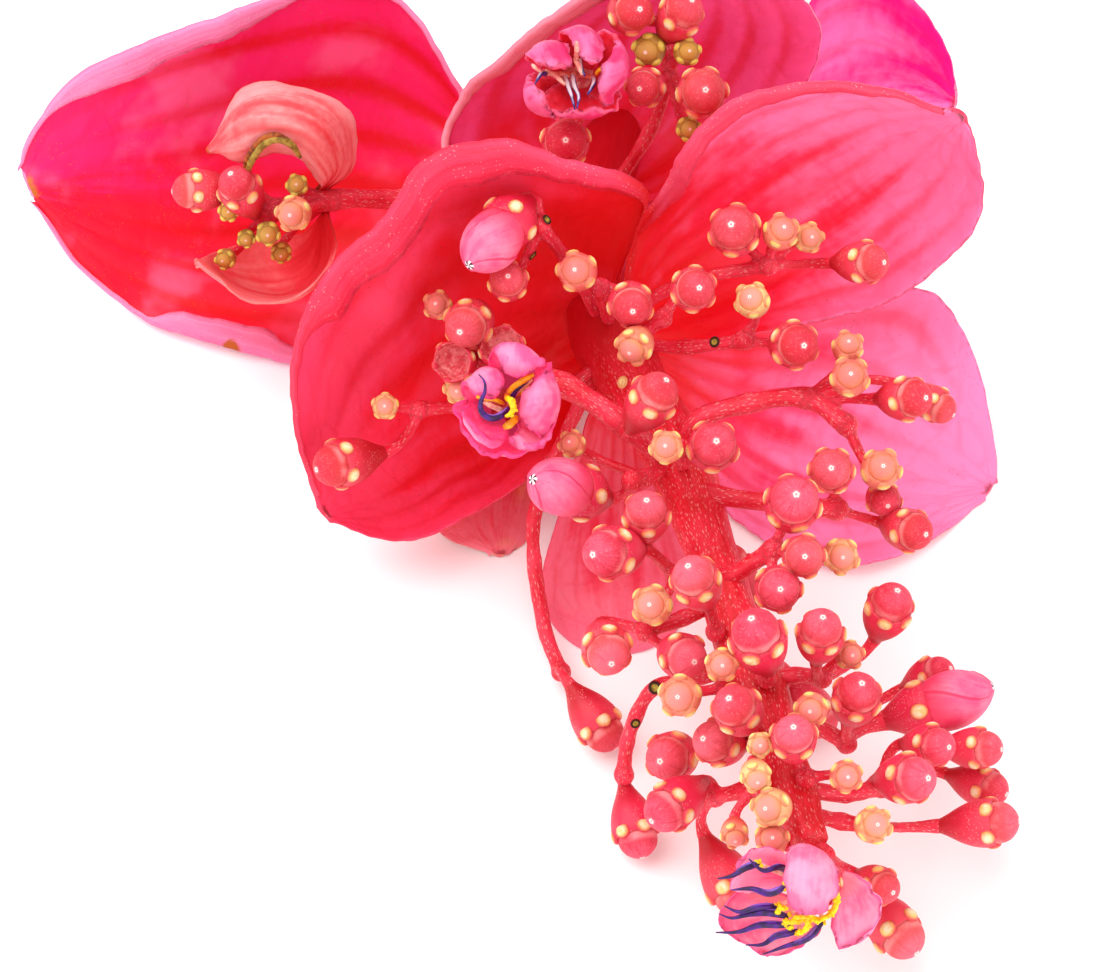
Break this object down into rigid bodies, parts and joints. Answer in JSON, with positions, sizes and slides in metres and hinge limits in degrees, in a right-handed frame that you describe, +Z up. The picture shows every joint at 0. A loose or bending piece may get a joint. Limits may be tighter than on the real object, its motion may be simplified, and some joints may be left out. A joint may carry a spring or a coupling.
{
  "type": "medinilla flower cluster",
  "caption": "Cut medinilla flower cluster lying on its side: fleshy stem, large cupped bracts and branchlets of round buds with a few open flowers.",
  "frame": {"origin": "centre of the base of the bounding box, on the surface that the cluster lies on", "axes": "+Z up from the surface, +Y along the stem towards its cut end, -Y towards its growing tip, +X to the right as seen from the tip end"},
  "size_m": [0.1666, 0.2526, 0.0758],
  "materials": {
    "stem": "satin, fleshy, with pale flecks",
    "branchlet": "satin, waxy, with cream warts",
    "bract": "satin, veined",
    "bract_pale": "satin, veined",
    "side_bract": "satin",
    "petal": "soft satin",
    "stamen": "satin"
  },
  "bodies": {
    "root": {"main_stem": "stem", "front_bract": "bract", "upper_right_bract": "bract", "right_bract": "bract_pale", "bottom_bract": "bract_pale", "top_bract": "bract", "top_right_bract": "bract_pale", "left_bract": "bract", "under_bract": "bract_pale", "side_upper_bract": "side_bract", "side_lower_bract": "side_bract", "side_branch": "branchlet", "top_branchlet": "branchlet", "top_flower_branchlet": "branchlet", "lilac_branchlet": "branchlet", "inner_branchlet": "branchlet", "fork_branchlet": "branchlet", "left_flower_branchlet": "branchlet", "far_left_branchlet": "branchlet", "lower_lilac_branchlet": "branchlet", "middle_branchlet": "branchlet", "upper_right_branchlet": "branchlet", "right_branchlet": "branchlet", "long_right_branchlet": "branchlet", "low_right_branchlet": "branchlet", "right_cluster_branchlet": "branchlet", "middle_left_branchlet": "branchlet", "rising_branchlet": "branchlet", "low_left_branchlet": "branchlet", "hanging_branchlet": "branchlet", "low_hanging_branchlet": "branchlet", "centre_branchlet": "branchlet", "lower_left_branchlet": "branchlet", "crown_branchlet": "branchlet", "rear_branchlet": "branchlet", "lilac_side_branchlet": "branchlet", "lower_crown_branchlet": "branchlet", "young_branchlet": "branchlet", "right_fan_branchlet": "branchlet", "low_fan_branchlet": "branchlet", "low_spread_branchlet": "branchlet", "tip_branchlet": "branchlet", "under_branchlet": "branchlet", "top_petal_1": "petal", "top_petal_2": "petal", "top_petal_3": "petal", "top_petal_4": "petal", "left_petal_1": "petal", "left_petal_2": "petal", "left_petal_3": "petal", "left_petal_4": "petal", "tip_petal_upper": "petal", "tip_petal_curled": "petal", "tip_petal_right": "petal", "tip_petal_lower": "petal", "top_stamens": "stamen", "left_stamens": "stamen", "tip_stamens": "stamen"}
  },
  "joints": []
}
